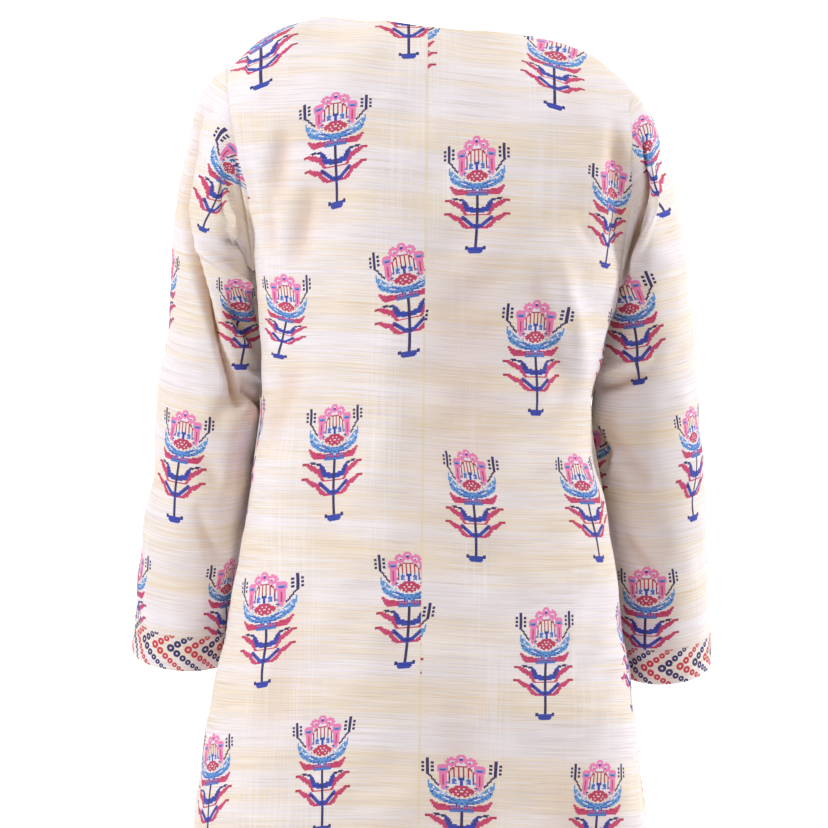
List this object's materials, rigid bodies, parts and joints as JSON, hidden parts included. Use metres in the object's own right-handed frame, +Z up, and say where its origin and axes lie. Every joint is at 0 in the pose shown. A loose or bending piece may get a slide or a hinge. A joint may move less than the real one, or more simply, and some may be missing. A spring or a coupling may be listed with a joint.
{
  "type": "kurta tunic",
  "caption": "Knee-length A-line cotton kurta tunic with three-quarter sleeves, contrast cuff bands and a centre-back seam, in its hollow worn form.",
  "frame": {"origin": "midway between the two points where the shoulder seams meet the neck, on the shoulder line that carries the garment", "axes": "+Z up, +Y the way the wearer faces, so the back is at -Y, and +X the wearer's right"},
  "size_m": [0.52, 0.3477, 1.0684],
  "materials": {
    "flower_print_cotton": "matt cream slub cotton with scattered cross-stitch-style flower motifs",
    "ring_print_band": "matt cream cotton printed with rows of small navy and red rings"
  },
  "bodies": {
    "root": {"back_left": "flower_print_cotton", "back_right": "flower_print_cotton", "front": "flower_print_cotton", "sleeve_left": "flower_print_cotton", "sleeve_right": "flower_print_cotton", "cuff_band_left": "ring_print_band", "cuff_band_right": "ring_print_band"}
  },
  "joints": []
}
